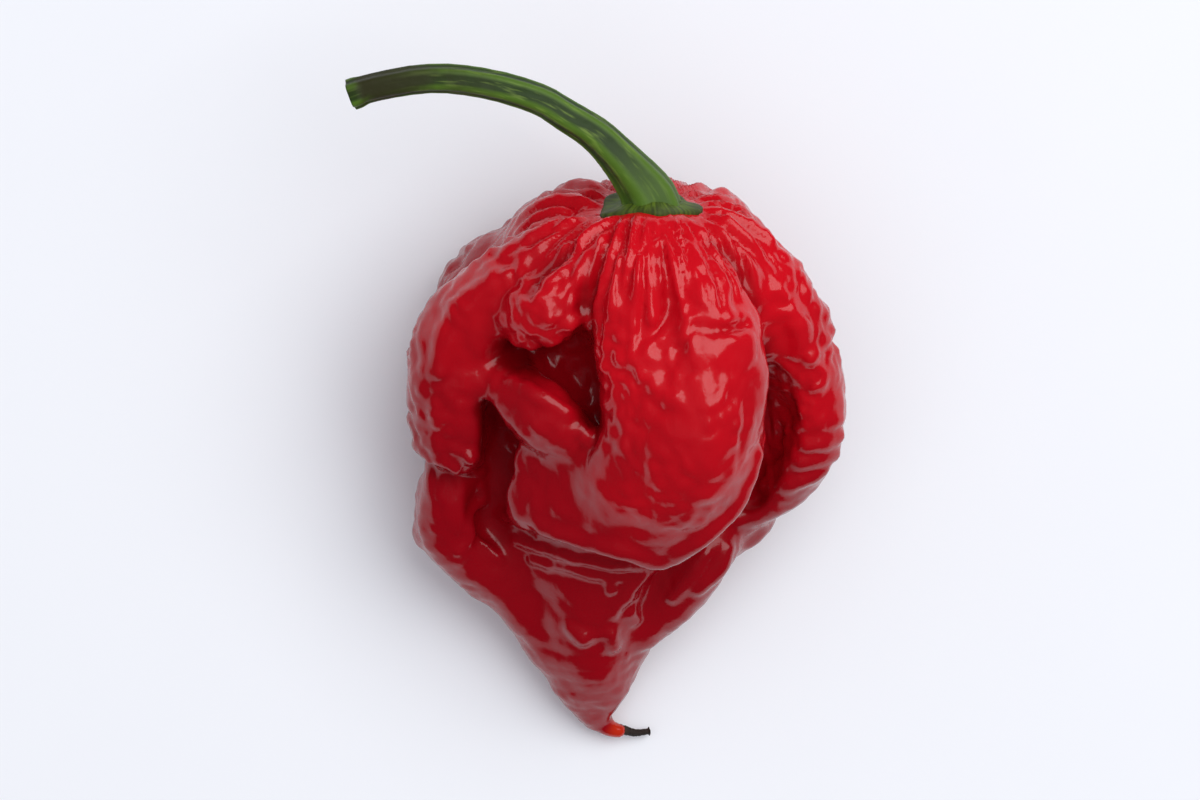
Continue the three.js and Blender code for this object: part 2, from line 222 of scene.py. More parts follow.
# %% The lobes of the pod
ROLLS = [  # name, width of the fillet where it meets the rest, path of (x, y, z, radius)
    ("body", 0, [(3.8, 10.5, 16, 9), (3.3, 3.5, 13.2, 9.2), (1.8, -4.5, 12, 8.6), (0.3, -12.5, 7.9, 6.5),
                 (0.3, -20.5, 5.5, 4)]),
    ("shoulder_left", 3, [(3.3, 12.1, 25, 4.2), (-1.8, 12.3, 21.4, 4.4), (-2, 13.1, 15, 5.4)]),
    ("shoulder_right", 3, [(3.3, 12.1, 25, 4.2), (8.6, 12.4, 21.5, 4.6), (9.4, 13.1, 15, 5.4)]),
    ("shoulder_under", 3, [(-2, 13.1, 15, 5.4), (4, 13.8, 11, 5.4), (9.4, 13.1, 15, 5.4)]),
    ("cheek", 2, [(4.3, 12.8, 24.8, 4.2), (7.1, 8.7, 25.1, 5.7), (8, 3.2, 25.6, 5.8),
                  (7.4, -2.3, 24.7, 5.7), (5.9, -5.7, 22.8, 5.2)]),
    ("cheek_left", 1.6, [(2.1, 13.4, 25.4, 2.6), (1.4, 9.8, 25.6, 3.1), (2, 6, 25.8, 3.4),
                         (3.2, 2, 25.4, 3.9), (3.6, -1.8, 24.4, 4.1), (2.4, -5.6, 22, 4.4)]),
    ("cheek_rim", 1.4, [(-5, -7.4, 16.3, 3.2), (-0.7, -8.2, 18.6, 3.6), (4.2, -9.2, 20.7, 3.9),
                        (8, -7, 21.6, 4), (9.9, -2.4, 22.8, 4)]),
    ("right_shoulder", 1.6, [(8.8, 13.4, 23.2, 3.2), (12.3, 10.1, 22.4, 3), (14.1, 6.5, 20.4, 2.4)]),
    ("right_lobe", 1.1, [(7.5, 14.6, 22.6, 2.6), (12, 13, 21.7, 3.3), (15.4, 9, 19.9, 3.5),
                         (17.4, 4.4, 17.9, 3.5), (18.5, -0.4, 15.7, 3.5), (17.8, -4.2, 13.6, 3.4),
                         (15.6, -6.8, 11.8, 3.2), (13, -8.5, 10.4, 3)]),
    ("left_lobe", 1.2, [(-3.2, 13.9, 22.2, 2.8), (-7.6, 10.9, 20.4, 3.5), (-10.6, 8, 18.6, 4),
                        (-12.1, 4.9, 17.2, 4.2), (-12.3, 1.8, 16.4, 4.2), (-12.1, -1.7, 15, 3.9)]),
    ("lower_left_lobe", 0.9, [(-11.5, -3.8, 11.6, 2.8), (-12.1, -7.6, 11.8, 3), (-11.9, -10.7, 10, 3.2),
                              (-9, -13.4, 8.4, 3.3), (-5.2, -17, 6.8, 2.9), (-2.4, -20.4, 5.2, 2.4)]),
    ("lower_left_corner", 1.2, [(-13.6, -7, 9.6, 1.5), (-13.7, -11.2, 8.2, 1.5)]),
    ("nose", 1.1, [(-10, 3.3, 18.6, 2.2), (-7.2, 1.6, 20.3, 2.7), (-4.6, -0.4, 21.5, 3),
                   (-2.6, -2, 21.6, 2.4)]),
    ("nose_root", 1.5, [(-7.6, 3.8, 16.2, 3.6), (-3, -1.5, 17, 3.6)]),
    ("nose_skirt", 2.2, [(-5.5, -3.2, 16.8, 2.9), (-3, -4.4, 18.3, 3), (-0.4, -5, 19.8, 2.8)]),
    ("brow", 1.4, [(-0.6, 14.2, 24.6, 2.2), (-1.9, 12.6, 25.4, 2.6), (-3.5, 10.5, 25.2, 3),
                   (-5, 9.1, 24.8, 3.2), (-6.4, 8, 23.2, 2.7)]),
    ("brow_root", 1.5, [(-1.2, 11.5, 21, 4), (-4.4, 9.3, 19.6, 3.6)]),
    ("point", 1.4, [(0.9, -12.3, 9.4, 5.2), (0.5, -16.2, 7.8, 5.2), (0.4, -20.1, 5.7, 4.8),
                    (0.8, -23.5, 4.2, 3.7), (1, -26.2, 2.8, 2.3), (1.5, -27.9, 2, 1.5),
                    (2.5, -29, 1.6, 0.9), (3.5, -29.4, 1.5, 0.6)]),
    ("point_left", 1.6, [(-4.4, -17.3, 6.2, 3), (-3, -20.1, 5, 2.6), (-0.5, -23.7, 3.6, 2.1)]),
    ("point_right", 1.6, [(4.9, -18.4, 6.4, 2.8), (3.4, -22, 4.6, 2.2), (2, -25.5, 3.2, 1.6)]),
    ("lower_right_lobe", 0.8, [(14.1, -9.4, 8.3, 2.9), (12.3, -11.3, 8.1, 2.5)]),
    ("right_flank", 0.9, [(10, -11.9, 10.2, 3.4), (8, -15.4, 8.7, 3.3), (5, -18.8, 6.8, 2.8)]),
    ("under_left", 1.6, [(-3.8, 12.1, 12.4, 4.6), (-5.8, 7.4, 7.4, 7.9), (-6.4, 0.4, 8.2, 7.2),
                         (-5.6, -7.6, 7.8, 5.6), (-1.6, -14.7, 5.2, 5.5)]),
    ("under_right", 1.6, [(9.8, 12.3, 12, 4.6), (11.2, 7.4, 7.5, 8), (11.8, 0.4, 8, 7.4),
                          (10.2, -6.6, 7.8, 5.8), (6.2, -12.7, 6.8, 4.8)]),
]
HOLLOWS = [
    ("eye", 1.6, [(-4, 6.9, 22.4, 1.5), (-2.7, 4.6, 20.8, 2.1), (-1, 2.1, 20.2, 2.1),
                  (0, -0.8, 20.8, 1.5)]),
    ("left_furrow", 1.4, [(-8.7, 0.2, 19.4, 1.3), (-8, -2.1, 17.4, 1.8), (-8.5, -5.3, 15.8, 1.8),
                          (-9.1, -8.6, 14, 1.6), (-8.6, -11, 12.6, 1.2)]),
    ("right_furrow", 1.5, [(15, 1.8, 20.4, 1.1), (14.9, -0.6, 18.2, 2), (14.4, -3.6, 15.9, 2.3),
                           (13.2, -7.2, 13.8, 2)]),
]
PATH_STEPS = 3  # each stretch of a path is split into this many straight ones
REACH = 4.5  # past this distance from a roll, its exact distance no longer matters


def smoothed(path):
    """The path's points with points between them, on a spline that runs through them all."""
    rows = np.array(path, np.float32)
    ends = np.vstack([2 * rows[0] - rows[1], rows, 2 * rows[-1] - rows[-2]])
    points = []
    for before, start, end, after in zip(ends, ends[1:], ends[2:], ends[3:]):
        bend = 2 * before - 5 * start + 4 * end - after
        twist = 3 * (start - end) + after - before
        for t in np.arange(PATH_STEPS) / PATH_STEPS:
            points.append(0.5 * (2 * start + (end - before) * t + bend * t ** 2 + twist * t ** 3))
    return np.array(points + [rows[-1]], np.float32)


def roll_distance(points, path):
    """Distance from each point to the skin of a tapered chain of balls; negative inside."""
    rows = smoothed(path)
    room = rows[:, 3:].max() + REACH
    low = rows[:, :3].min(0) - room
    high = rows[:, :3].max(0) + room
    near = np.flatnonzero(((points > low) & (points < high)).all(1))
    nearest = np.full(len(near), REACH, np.float32)
    for start, end in zip(rows, rows[1:]):
        along = end[:3] - start[:3]
        offset = points[near] - start[:3]
        share = np.clip(offset @ along / (along @ along), 0, 1)
        away = np.linalg.norm(offset - share[:, None] * along, axis=1)
        nearest = np.minimum(nearest, away - (start[3] + share * (end[3] - start[3])))
    distance = np.full(len(points), REACH, np.float32)
    distance[near] = nearest
    return distance


def soft_min(a, b, width):
    """The smaller of two distances, with a fillet where they are alike."""
    if not width:
        return np.minimum(a, b)
    overlap = np.maximum(width - np.abs(a - b), 0)
    return np.minimum(a, b) - overlap * overlap / (4 * width)


def lobed_distance(points):
    """Distance to the pod's skin before any fold or crease is drawn on it."""
    distance = np.full(len(points), REACH, np.float32)
    for _, fillet, path in ROLLS:
        distance = soft_min(distance, roll_distance(points, path), fillet)
    for _, fillet, path in HOLLOWS:
        distance = -soft_min(-distance, roll_distance(points, path), fillet)
    return distance


print("pod: %d rolls, %d hollows" % (len(ROLLS), len(HOLLOWS)))

# %% [markdown]
# ## Folds and creases
#
# On top of the lobes lie thin folds: the lip of the big cheek, the pinched skin under it, the wrinkles of
# the right lobe. Each is drawn as a line seen from above, as on paper, and then dropped onto the lobes. A
# fold is a thin roll, partly sunk in the skin; a crease is a thin hollow cut along it.

# %% Lines drawn on the skin
FOLDS = [  # name, width of the fillet, share of the radius that is sunk, line of (x, y, radius)
    ("cheek_lip", 0.8, 0.5, [(-7.8, -9.4, 0.3), (-4.8, -10.2, 0.7), (-1.2, -11.2, 0.8), (2.4, -12, 0.9),
                             (5.2, -12.8, 1), (7.9, -11, 1), (10.4, -9, 0.9), (12, -6.4, 0.8),
                             (13, -3.6, 0.5)]),
    ("under_lip", 0.5, 0.3, [(-6.6, -11.8, 0.3), (-2.6, -12.9, 0.6), (1.6, -13.6, 0.6), (4.3, -14, 0.4)]),
    ("under_lip_low", 0.5, 0.3, [(-5.1, -13.4, 0.3), (-1.1, -14.4, 0.55), (3.1, -14.9, 0.4)]),
    ("nose_crest", 0.6, 0.3, [(-8.2, 2.9, 0.4), (-6, 1.6, 0.8), (-3.6, 0.1, 0.7)]),
    ("nose_tip", 0.6, 0.3, [(-2, -1.7, 0.7), (-1.3, -2.4, 0.6)]),
    ("lower_left_edge", 0.5, 0.4, [(-9.9, -6.8, 0.4), (-9.7, -8.1, 0.6), (-10.7, -9.3, 0.5),
                                   (-10.6, -11.2, 0.6), (-11.7, -12.7, 0.4)]),
    ("lower_left_line", 0.4, 0.4, [(-10, -11.5, 0.3), (-8.9, -12.6, 0.45), (-7.9, -13.6, 0.3)]),
    ("point_ridge", 0.7, 0.4, [(5.5, -14, 0.5), (3.6, -15.2, 0.8), (2.7, -16.6, 0.8), (1.9, -18, 0.5)]),
    ("point_ridge_short", 0.5, 0.4, [(0.9, -14.6, 0.4), (1.6, -15.8, 0.5)]),
    ("point_knob_left", 0.6, 0.3, [(-1.7, -19.5, 0.6), (-0.5, -20.2, 0.9)]),
    ("point_knob_middle", 0.6, 0.3, [(1.8, -20, 0.7), (2.1, -21.2, 0.7)]),
    ("point_knob_right", 0.6, 0.3, [(3.6, -18.1, 0.6), (4.1, -18.9, 0.6)]),
    ("right_wrinkle_1", 0.8, 0.5, [(16.9, -1.9, 0.25), (18.9, -1.2, 0.45), (21.2, -1.1, 0.3)]),
    ("right_wrinkle_2", 0.8, 0.5, [(15.9, -3.4, 0.3), (18.4, -3.2, 0.5), (21.3, -2.5, 0.35)]),
    ("right_wrinkle_3", 0.8, 0.5, [(15.6, -5.6, 0.25), (18.1, -4.6, 0.4), (21, -4.3, 0.3)]),
    ("right_wrinkle_4", 0.8, 0.5, [(14.4, -7, 0.3), (17.2, -6.7, 0.5), (20, -5.6, 0.35)]),
    ("right_crest", 0.9, 0.5, [(14.9, 10.7, 0.6), (16.2, 8.4, 0.9), (17.1, 6.2, 0.9), (18, 4.3, 0.9),
                               (18.9, 2.7, 0.6)]),
    ("cheek_pleat_left", 1.2, 0.6, [(0.6, 13.2, 0.6), (0.5, 10.9, 0.9), (1.6, 7.7, 1), (2.4, 5.1, 1),
                                    (4, 2.6, 0.8), (5.2, 1.5, 0.5)]),
    ("cheek_pleat_middle", 1, 0.6, [(2.3, 13.6, 0.6), (2.5, 11.8, 0.9), (3.2, 8.6, 0.6)]),
    ("left_crest", 0.9, 0.5, [(-7.4, 12.2, 0.5), (-10.4, 10.4, 0.9), (-12.2, 8.7, 0.9), (-13.5, 6.1, 0.9),
                              (-13.9, 3.6, 0.7)]),
    ("left_knob", 0.6, 0.3, [(-11.2, -4.1, 0.7), (-10.4, -4.5, 0.7)]),
    ("left_lip", 0.6, 0.5, [(-14.4, -4.5, 0.35), (-12.4, -5, 0.55), (-10, -5.4, 0.45)]),
    ("flank_fold", 0.7, 0.4, [(9.8, -13, 0.5), (8.7, -14.8, 0.8), (7.3, -17, 0.5)]),
    ("flank_fold_low", 0.7, 0.4, [(12, -12.6, 0.4), (11, -14.4, 0.7), (9.4, -16.2, 0.4)]),
]
CREASES = [  # a share below zero lifts the line off the lobes, so that the cut is shallow
    ("cheek_groove", 0.8, -0.4, [(4.3, 14.4, 0.5), (4.3, 11.8, 0.7), (4.5, 8.2, 0.7), (5.4, 6.2, 0.6),
                                 (6.4, 3.8, 0.3)]),
    ("brow_groove_right", 0.9, -0.3, [(-1.2, 14.2, 0.5), (-1.8, 11.7, 0.8), (-2.2, 9, 0.9)]),
    ("brow_groove_left", 0.9, -0.3, [(-3.4, 14.4, 0.5), (-5.4, 12.8, 0.8), (-7, 10.8, 0.7)]),
    ("right_groove", 0.9, -0.3, [(8.8, 14.8, 0.5), (11, 13.4, 0.8), (12.6, 10.8, 0.8), (13.5, 8.1, 0.7)]),
    ("cheek_step", 0.8, -0.2, [(6.9, 7.7, 0.25), (9, 7.3, 0.45), (11.6, 7.7, 0.35)]),
]
SKY = 40  # height from which the lines fall
DROP_STEPS = 60
FALL = 0.8  # share of the distance to the skin that each step moves, so that none goes through it
LINE_FLOOR = 0.3  # no ball's middle goes lower than this


def dropped(rows):
    """Lines let fall onto the lobes, each ball's middle then sunk by a share of its radius."""
    balls = np.array([ball for _, _, _, line in rows for ball in line], np.float32)
    sinks = np.concatenate([[sink] * len(line) for _, _, sink, line in rows])
    height = np.full(len(balls), SKY, np.float32)
    for _ in range(DROP_STEPS):
        height -= FALL * np.maximum(lobed_distance(np.column_stack([balls[:, :2], height])), 0)
    height = np.maximum(height - sinks * balls[:, 2], LINE_FLOOR)
    laid = iter(zip(balls[:, 0], balls[:, 1], height, balls[:, 2]))
    return [(fillet, [next(laid) for _ in line]) for _, fillet, _, line in rows]


def pod_distance(points):
    """Distance to the pod's skin, with its folds and creases."""
    distance = lobed_distance(points)
    for fillet, path in folds_on_skin:
        distance = soft_min(distance, roll_distance(points, path), fillet)
    for fillet, path in creases_on_skin:
        distance = -soft_min(-distance, roll_distance(points, path), fillet)
    return distance


folds_on_skin = dropped(FOLDS)
creases_on_skin = dropped(CREASES)
print("skin: %d folds, %d creases" % (len(folds_on_skin), len(creases_on_skin)))

# %% [markdown]
# ## From field to mesh
#
# The skin is where the field is zero. Surface nets read it from a grid: each cell that the skin crosses gets
# one vertex, and each grid edge that it crosses gets one quad. The quads are even in size, so the wrinkles
# that come later are even too. To save time a coarse grid first finds the few cells near the skin.

# %% Surface nets
CELL = 0.3
COARSE = 4  # fine cells along the side of a coarse one
GRID_LOW = np.array((-20, -33, -2.6), np.float32)
GRID_HIGH = np.array((26, 24, 35), np.float32)
NEAR = 1.05  # coarse cells: how near the skin a coarse cell is read again, finely
UNREAD = 99  # more than any distance in the grid
DEEP = 9  # stands for any distance far from the skin
CUBE = [(i, j, k) for i in (0, 1) for j in (0, 1) for k in (0, 1)]  # the corners of a cell


def sampled(distance, low, high, cell):
    """The field's values on a grid, exact near the skin and only its sign elsewhere."""
    blocks = np.ceil((high - low) / (cell * COARSE)).astype(int)
    corner = np.stack(np.meshgrid(*[np.arange(n + 1) for n in blocks], indexing="ij"), -1)
    rough = distance((corner.reshape(-1, 3) * cell * COARSE + low).astype(np.float32))
    rough = rough.reshape(corner.shape[:3])
    nearest = np.full(blocks, UNREAD, np.float32)
    for i, j, k in CUBE:
        part = rough[i:i + blocks[0], j:j + blocks[1], k:k + blocks[2]]
        nearest = np.where(np.abs(part) < np.abs(nearest), part, nearest)
    near = np.abs(nearest) < cell * COARSE * NEAR
    values = np.where(nearest < 0, -DEEP, DEEP).astype(np.float32)
    for axis in range(3):
        values = values.repeat(COARSE, axis)
        near = near.repeat(COARSE, axis)
    where = np.argwhere(near)
    values[tuple(where.T)] = distance((where * cell + low).astype(np.float32))
    return values


def surface_net(values, low, cell):
    """Vertices and quads of the grid's zero level."""
    inside = values < 0
    shape = np.array(values.shape) - 1
    count = sum(inside[i:i + shape[0], j:j + shape[1], k:k + shape[2]].astype(np.int8)
                for i, j, k in CUBE)
    cells = np.argwhere((count > 0) & (count < len(CUBE)))
    at = {c: values[tuple((cells + c).T)] for c in CUBE}
    total = np.zeros((len(cells), 3))
    crossings = np.zeros(len(cells))
    for start in CUBE:
        for axis in range(3):
            if start[axis]:
                continue
            end = tuple(1 if a == axis else start[a] for a in range(3))
            a, b = at[start], at[end]
            cross = (a < 0) != (b < 0)
            share = np.where(cross, a / np.where(cross, a - b, 1), 0)
            total += cross[:, None] * (np.array(start) + share[:, None] * (np.array(end) - start))
            crossings += cross
    vertices = (cells + total / crossings[:, None]) * cell + low
    number = np.full(values.shape, -1, np.int32)
    number[tuple(cells.T)] = np.arange(len(cells))
    quads = []
    for axis in range(3):
        step = np.eye(3, dtype=int)
        after = np.take(inside, range(1, values.shape[axis]), axis)
        before = np.take(inside, range(values.shape[axis] - 1), axis)
        edges = np.argwhere(before != after)
        u, w = step[(axis + 1) % 3], step[(axis + 2) % 3]
        ring = [number[tuple((edges - offset).T)] for offset in (u + w, w, 0 * u, u)]
        quad = np.stack(ring, 1)
        outwards = before[tuple(edges.T)]
        quads.append(np.where(outwards[:, None], quad, quad[:, ::-1]))
    return vertices, np.concatenate(quads)


skin_points, skin_quads = surface_net(sampled(pod_distance, GRID_LOW, GRID_HIGH, CELL), GRID_LOW, CELL)
print("pod: %d quads of about %.1f mm" % (len(skin_quads), CELL))

# %% [markdown]
# ## A settled skin that knows its valleys
#
# The net's vertices lie a little off the skin, in steps that gloss would show, so each one is moved along the
# field's slope to where the field is zero. The same slope tells how deep in a valley a point is: the field is
# read a little way above the skin, where only a valley has another wall near. The paint uses this later to
# paint shade into the valleys.

# %% Settle the skin
SLOPE_STEP = 0.05
GENTLEST_SLOPE = 0.2  # squared; keeps a step short where rolls cancel each other's slope
LONGEST_MOVE = 0.3 * CELL
HOLLOW_REACHES = (1.2, 3.2)  # how far above the skin a valley's other wall is looked for


def slope_of(points, distance):
    """The field's slope at each point, along X, Y and Z."""
    rises = [distance((points + d).astype(np.float32)) - distance((points - d).astype(np.float32))
             for d in np.eye(3) * SLOPE_STEP]
    return np.stack(rises, 1) / (2 * SLOPE_STEP)


def settled(points, distance):
    """Points moved along the field's slope onto the skin, and never under the table's top."""
    slope = slope_of(points, distance)
    away = distance(points.astype(np.float32))
    move = -away / np.maximum((slope ** 2).sum(1), GENTLEST_SLOPE)
    points = points + slope * np.clip(move, -LONGEST_MOVE, LONGEST_MOVE)[:, None]
    points[:, 2] = np.maximum(points[:, 2], 0)
    return points


def new_piece(name, vertices, faces):
    mesh = bpy.data.meshes.new(name)
    mesh.from_pydata(vertices.tolist(), [], faces.tolist())
    mesh.validate()
    mesh.shade_smooth()
    piece = bpy.data.objects.new(name, mesh)
    bpy.context.scene.collection.objects.link(piece)
    return piece


def hollowness(points, distance):
    """How much of the space above each point is filled by other skin: 0 on a crest, 1 deep in a valley."""
    slope = slope_of(points, distance)
    out = slope / np.maximum(np.linalg.norm(slope, axis=1), 1e-6)[:, None]
    filled = [1 - distance((points + out * reach).astype(np.float32)) / reach for reach in HOLLOW_REACHES]
    return np.clip(sum(filled) / len(filled), 0, 1)


skin_points = settled(skin_points, pod_distance)
pod = new_piece("pod_skin", skin_points * MM, skin_quads)
valley = pod.data.attributes.new("valley", "FLOAT", "POINT")
valley.data.foreach_set("value", hollowness(skin_points, lobed_distance))
print("pod: height %.1f mm" % skin_points[:, 2].max())

# %% [markdown]
# ## Growing a mesh
#
# Geometry Nodes suit what follows a rule. `Growth` is a tree under construction whose sizes are named inputs,
# and `grown` runs a finished tree on a piece and keeps the result as a plain mesh, which the export needs.

# %% Trees with named inputs


class Growth(Graph):
    """A Geometry Nodes tree with named inputs."""

    def __init__(self, name, **defaults):
        super().__init__(bpy.data.node_groups.new(name, "GeometryNodeTree"))
        interface = self.tree.interface
        interface.new_socket("Geometry", in_out="INPUT", socket_type="NodeSocketGeometry")
        interface.new_socket("Geometry", in_out="OUTPUT", socket_type="NodeSocketGeometry")
        interface.new_socket("Finish", in_out="INPUT", socket_type="NodeSocketMaterial")
        for key, default in defaults.items():
            made = interface.new_socket(key.replace("_", " "), in_out="INPUT",
                                        socket_type="NodeSocketFloat")
            made.default_value = default
        self.entry = self.tree.nodes.new("NodeGroupInput")

    def given(self, name):
        return Value(self, self.entry.outputs[name.replace("_", " ")])

    def finish(self, geometry):
        real = self.node("GeometryNodeRealizeInstances", None, geometry)
        painted = self.node("GeometryNodeSetMaterial", None, Geometry=real, Material=self.given("Finish"))
        self.tree.links.new(painted.socket, self.tree.nodes.new("NodeGroupOutput").inputs["Geometry"])
        return self.tree


def grown(piece, tree, **inputs):
    """The plain mesh that a tree makes of a piece."""
    modifier = piece.modifiers.new(tree.name, "NODES")
    modifier.node_group = tree
    for item in tree.interface.items_tree:
        key = item.name.replace(" ", "_")
        if item.in_out == "INPUT" and key in inputs:
            modifier[item.identifier] = inputs[key]
    bpy.context.view_layer.update()
    result = piece.evaluated_get(bpy.context.evaluated_depsgraph_get())
    mesh = bpy.data.meshes.new_from_object(result)
    piece.modifiers.remove(modifier)
    return mesh


print("helpers:", Growth.__name__, grown.__name__)

# %% [markdown]
# ## Pleats and crumples
#
# Two rules wrinkle the whole skin. Round the calyx it is gathered into pleats that fan out and fade.
# Elsewhere it is crumpled, like a bag that is too big for what it holds, but less so on the tail, and not at
# all where it rests on the table. Both rules follow from the place on the pod alone, so a tree pushes the
# vertices along their normals, and its sizes are inputs that can be turned by hand.

# %% A tree that wrinkles a skin
SEAT = (3.9, 16.8, 22.5)  # the middle of the pod's stem end
SEAT_FACING = Vector((0.03, 0.95, 0.31)).normalized()
SEAT_RIGHT = (Vector((1, 0, 0)) - SEAT_FACING * SEAT_FACING.x).normalized()
SEAT_UP = SEAT_FACING.cross(SEAT_RIGHT)
PLEAT_START = (0.0037, 0.0068)  # distance from the seat over which the pleats rise out of the calyx
CRUMPLE_START = (0.004, 0.012)
FOOT = (0.0, 0.0025)  # height over which the wrinkles rise from the table
TAIL_TO_BODY = (-0.013, 0.004)  # stretch of Y over which the crumples grow to their full depth


def seen_from_seat(place):
    """The place relative to the seat, and how far it lies to the seat's right and up."""
    from_seat = place.vector("SUBTRACT", tuple(v * MM for v in SEAT))
    right = from_seat.vector("DOT_PRODUCT", tuple(SEAT_RIGHT), output="Value")
    up = from_seat.vector("DOT_PRODUCT", tuple(SEAT_UP), output="Value")
    return from_seat, right, up


def wrinkle_tree():
    tree = Growth("skin_wrinkles", Streaks=5.2, Pleat_Depth=0.0014, Pleat_Reach=0.0155,
                  Lump_Depth=0.0011, Crumple_Depth=0.0016, Pimple_Depth=0.00055)
    place = tree.node("GeometryNodeInputPosition")
    from_seat, right, up = seen_from_seat(place)
    away = from_seat.vector("LENGTH", output="Value")
    turn = up.math("ARCTAN2", right)
    fan = tree.node("ShaderNodeCombineXYZ", None, turn.math("COSINE"), turn.math("SINE"), away * 22.0)
    streak = abs(tree.noise(fan, tree.given("Streaks"), detail=1.0) - 0.5).math("MINIMUM", 0.2)
    fade = (1.0 - (away / tree.given("Pleat_Reach")).rising(0.35, 1.0)) * away.rising(*PLEAT_START)
    pleats = (streak - 0.1) * fade * tree.given("Pleat_Depth") * 5.0

    patchy = tree.noise(place, 120.0, detail=1.0).rising(0.40, 0.60)
    lumps = (tree.noise(place, 190.0, detail=1.5) - 0.5) * tree.given("Lump_Depth")
    along = place.vector("MULTIPLY", (1.0, 0.6, 0.8))
    corner = tree.node("ShaderNodeSeparateXYZ", None, place)
    upper = corner.other("Y").rising(*TAIL_TO_BODY)
    clear = corner.other("Z").rising(*FOOT)
    facets = abs(tree.noise(along, 430.0, detail=1.0, distortion=0.5) - 0.5).math("MINIMUM", 0.22)
    crumples = (facets - 0.11) * tree.given("Crumple_Depth") * (0.4 + 0.6 * patchy)
    pimples = (0.5 - tree.cells(place, 700.0)) * tree.given("Pimple_Depth") * (0.2 + 0.8 * patchy)
    rough = lumps + (crumples + pimples) * (0.3 + 0.7 * upper)
    shift = pleats + rough * away.rising(*CRUMPLE_START) * clear
    normal = tree.node("GeometryNodeInputNormal")
    moved = tree.node("GeometryNodeSetPosition", None, Geometry=tree.given("Geometry"),
                      Offset=normal.vector("SCALE", shift))
    return tree.finish(moved)


print("seat faces", [round(v, 2) for v in SEAT_FACING])

# %% [markdown]
# ## Floor and light
#
# The floor is a plain pale table top. A large soft box hangs high beyond the pod's right shoulder and makes
# the highlights. A skin this glossy mirrors the whole room, so the overhead fill and the room itself are kept
# out of reflections: the red stays deep, as it does in a studio with dark walls.

# %% Floor and lights
FLOOR_COLOR = (0.86, 0.87, 0.90)
FLOOR_GRAIN = tuple(0.985 * c for c in FLOOR_COLOR)
FLOOR_REACH = 2  # metres from the middle to each edge
LIGHT_AIM = (0, 0, 12)
ROOM_WHITE = (0.90, 0.92, 0.98)


def add_floor():
    corners = [(x * FLOOR_REACH, y * FLOOR_REACH, 0) for x, y in ((-1, -1), (1, -1), (1, 1), (-1, 1))]
    floor = new_piece("floor", np.array(corners), np.array([(0, 1, 2, 3)]))
    paint = Paint("table_top")
    grain = paint.noise(paint.place(), 60.0, detail=3)
    floor.data.materials.append(paint.set(Base_Color=paint.mix(grain, FLOOR_COLOR, FLOOR_GRAIN),
                                          Roughness=0.85))


def add_soft_box(name, place, size, power, color=(1, 1, 1), in_reflections=True):
    light = bpy.data.lights.new(name, "AREA")
    light.shape = "RECTANGLE"
    light.size, light.size_y = (s * MM for s in size)
    light.energy = power
    light.color = color
    lamp = bpy.data.objects.new(name, light)
    bpy.context.scene.collection.objects.link(lamp)
    lamp.location = Vector(place) * MM
    lamp.rotation_euler = (Vector(LIGHT_AIM) - Vector(place)).to_track_quat("-Z", "Y").to_euler()
    lamp.visible_glossy = in_reflections


def add_room(color, strength):
    world = bpy.data.worlds.new("room")
    world.use_nodes = True
    background = world.node_tree.nodes["Background"]
    background.inputs["Color"].default_value = (*color, 1)
    background.inputs["Strength"].default_value = strength
    world.cycles_visibility.glossy = False
    bpy.context.scene.world = world


add_floor()
add_room(ROOM_WHITE, strength=0.50)
add_soft_box("soft_box_right", (225, 230, 620), size=(600, 600), power=3.1)
add_soft_box("overhead_fill", (-120, 60, 900), size=(900, 900), power=2.1, color=ROOM_WHITE,
             in_reflections=False)
bpy.context.scene.view_settings.view_transform = "Standard"

# %% [markdown]
# ## Skin of the pod
#
# Ripe chilli skin is a waxy clear layer over deep red flesh. What shows most is gloss. The red is painted
# brightest on the crests and near the tail, with painted shade low on the pod and on the side away from the
# soft box, and the darkest painted shade in the valleys. It turns orange at the tail's very end.

# %% Red skin
LIT_BRIGHT_RED = (0.58, 0.0030, 0.010)
SHADED_DARK_RED = (0.28, 0.0012, 0.006)
# painted shade: the near-black red that the valleys are darkened towards
VALLEY_SHADE_RED = (0.10, 0.0003, 0.001)
ORANGE_RED = (0.50, 0.022, 0.006)
TAIL_END = (0.0034, -0.0294, 0.0015)
SHADE_SLOPE = (-9.0, -20.0, -30.0)  # per metre: painted shade, darker downwards, to the left and away from the stem's end, away from the soft box
PATCHINESS = 1.2
TAIL_BRIGHTNESS = 0.6


def red_skin():
    paint = Paint("red_skin", IOR=1.42)
    place = paint.place()
    patches = paint.noise(place, 90.0, detail=3)
    to_tail = place.vector("DISTANCE", TAIL_END, output="Value")
    # painted shade: the red darkens towards the table and away from the soft box, less so near the tail's
    # end; random patches darken it too
    low = place.vector("DOT_PRODUCT", SHADE_SLOPE, output="Value")
    shade_and_patches = 0.85 + low + (patches - 0.5) * PATCHINESS
    shade_and_patches = shade_and_patches - TAIL_BRIGHTNESS * (1.0 - to_tail.rising(0.006, 0.018))
    color = paint.mix(shade_and_patches.rising(-0.45, 0.6), LIT_BRIGHT_RED, SHADED_DARK_RED)
    # painted shade: the deeper a point lies in a valley, the more its red turns to a near-black red
    color = paint.mix(0.72 * paint.attribute("valley").rising(0.12, 0.75), color, VALLEY_SHADE_RED)
    color = paint.mix(1.0 - to_tail.rising(0.0006, 0.0018), color, ORANGE_RED)
    pores = paint.noise(place, 2600.0, detail=2)
    return paint.set(Base_Color=color, Roughness=0.12 + 0.12 * patches,
                     Normal=paint.bump(pores, 0.00004, 0.35))


pod.data = grown(pod, wrinkle_tree(), Finish=red_skin())
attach(pod, "root")
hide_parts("pod")
print("pod: %d faces" % len(pod.data.polygons))

# %% [markdown]
# ## The stem and the dry style
#
# Both are stalks: a round section carried along a curve, with ribs along its length. The rule is simple, so
# one tree grows both. It bends a plain cylinder: each vertex reads its share of the length and its angle,
# looks up the curve there, and steps out by the radius. The share, the angle and the ribs are kept as
# attributes, so that the paint can follow them.

